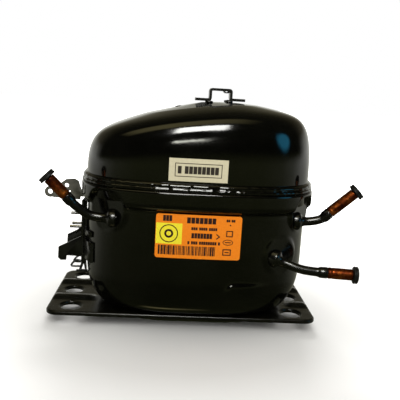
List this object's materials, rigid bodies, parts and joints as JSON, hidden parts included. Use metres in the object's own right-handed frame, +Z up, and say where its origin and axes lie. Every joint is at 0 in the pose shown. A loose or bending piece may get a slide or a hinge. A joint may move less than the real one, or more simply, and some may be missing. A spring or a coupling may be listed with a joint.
{
  "type": "hermetic reciprocating compressor",
  "caption": "Hermetic refrigerator compressor: welded two-part steel shell on a footed base plate, with tube stubs, terminal bracket and sprung pump unit inside.",
  "frame": {"origin": "middle of the base plate's dished underside, which rests on the ground", "axes": "+X along the plate's length, from the terminal end to the end with the suction and discharge tubes; -Y is the labelled front; +Z up"},
  "size_m": [0.2409, 0.1319, 0.1784],
  "materials": {
    "black_paint": "gloss black electrocoat paint",
    "weld": "rippled weld bead under gloss black paint",
    "copper": "drawn copper tube, slightly tarnished",
    "plug_rubber": "matt black moulded rubber",
    "steel": "bright machined steel",
    "dark_steel": "oiled dark steel",
    "cast_iron": "fine cast iron",
    "aluminium": "die-cast aluminium",
    "winding": "enamelled copper wire, laced and varnished",
    "laminations": "stacked electrical steel sheets",
    "gasket": "compressed fibre",
    "muffler_plastic": "natural moulded plastic",
    "orange_label": "printed orange foil label",
    "white_label": "cream paper label with a thin frame"
  },
  "bodies": {
    "shell": {"lower_shell": "black_paint", "upper_shell": "black_paint", "weld_seam": "weld", "base_plate": "black_paint", "process_tube": "black_paint", "process_stub": "copper", "suction_tube": "black_paint", "suction_stub": "copper", "discharge_tube": "black_paint", "discharge_stub": "copper", "top_bracket": "black_paint", "terminal_header": "dark_steel", "terminal_pin_common": "steel", "terminal_pin_start": "steel", "terminal_pin_run": "steel", "terminal_fence": "black_paint", "cover_bracket": "black_paint", "cover_clip": "steel", "rating_label": "orange_label", "serial_label": "white_label", "lead_connector": "muffler_plastic", "motor_leads": "plug_rubber", "discharge_line": "copper", "spring_seat_1": "steel", "spring_seat_2": "steel", "spring_seat_3": "steel", "spring_seat_4": "steel", "spring_1": "steel", "spring_2": "steel", "spring_3": "steel", "spring_4": "steel"},
    "process_plug": {"process_plug": "plug_rubber"},
    "suction_plug": {"suction_plug": "plug_rubber"},
    "discharge_plug": {"discharge_plug": "plug_rubber"},
    "pump_unit": {"crankcase": "cast_iron", "stator_core": "laminations", "stator_winding": "winding", "cylinder_head": "aluminium", "valve_plate": "steel", "cylinder_gasket": "gasket", "head_gasket": "gasket", "suction_muffler": "muffler_plastic", "discharge_muffler": "dark_steel", "stator_bolt_1": "dark_steel", "stator_bolt_2": "dark_steel", "stator_bolt_3": "dark_steel", "stator_bolt_4": "dark_steel", "head_bolt_1": "dark_steel", "head_bolt_2": "dark_steel", "head_bolt_3": "dark_steel", "head_bolt_4": "dark_steel"},
    "crankshaft": {"crankshaft": "steel", "oil_pickup": "dark_steel", "rotor_core": "laminations", "rotor_cage": "aluminium"},
    "slide_block": {"slide_block": "dark_steel"},
    "gallery_plug": {"gallery_plug": "steel"},
    "piston_yoke": {"piston_yoke": "steel"},
    "suction_reed": {"suction_reed": "steel"},
    "discharge_reed": {"discharge_reed": "steel"}
  },
  "joints": [
    {"name": "suspension_bounce", "type": "slide", "parent": "shell", "child": "pump_unit", "axis": [0, 0, 1], "range_m": [-0.003, 0.003], "stiffness_N_per_m": 24000, "springref_m": 0.002, "deforming": ["spring_1", "spring_2", "spring_3", "spring_4", "discharge_line", "motor_leads"]},
    {"name": "crank_spin", "type": "hinge", "parent": "pump_unit", "child": "crankshaft", "pos_m": [0, 0, 0.08], "axis": [0, 0, 1], "continuous": true},
    {"name": "slide_block_turn", "type": "hinge", "parent": "crankshaft", "child": "slide_block", "pos_m": [0.01, 0, 0.1155], "axis": [0, 0, 1], "continuous": true},
    {"name": "gallery_plug_turn", "type": "hinge", "parent": "crankshaft", "child": "gallery_plug", "pos_m": [0.005, 0, 0.1], "axis": [0, 0, 1], "continuous": true},
    {"name": "piston_stroke", "type": "hinge", "parent": "gallery_plug", "child": "piston_yoke", "pos_m": [0.01, 0, 0.1155], "axis": [0, 0, 1], "continuous": true},
    {"name": "suction_reed_lift", "type": "hinge", "parent": "pump_unit", "child": "suction_reed", "pos_m": [0.0578, -0.0045, 0.1255], "axis": [0, 1, 0], "range_deg": [0, 3], "stiffness_Nm_per_rad": 0.01},
    {"name": "discharge_reed_lift", "type": "hinge", "parent": "pump_unit", "child": "discharge_reed", "pos_m": [0.062, 0.0065, 0.1255], "axis": [0, -1, 0], "range_deg": [0, 3], "stiffness_Nm_per_rad": 0.01},
    {"name": "process_plug_pull", "type": "slide", "parent": "shell", "child": "process_plug", "axis": [-0.6954, -0.0614, 0.716], "range_m": [0, 0.016]},
    {"name": "suction_plug_pull", "type": "slide", "parent": "shell", "child": "suction_plug", "axis": [0.7331, -0.0553, 0.6779], "range_m": [0, 0.016]},
    {"name": "discharge_plug_pull", "type": "slide", "parent": "shell", "child": "discharge_plug", "axis": [0.9943, -0.106, -0.0132], "range_m": [0, 0.016]}
  ],
  "couplings": [
    {"joint": "slide_block_turn", "follows": "crank_spin", "ratio": -1},
    {"joint": "gallery_plug_turn", "follows": "crank_spin", "ratio": -2},
    {"joint": "piston_stroke", "follows": "crank_spin", "ratio": 1}
  ]
}
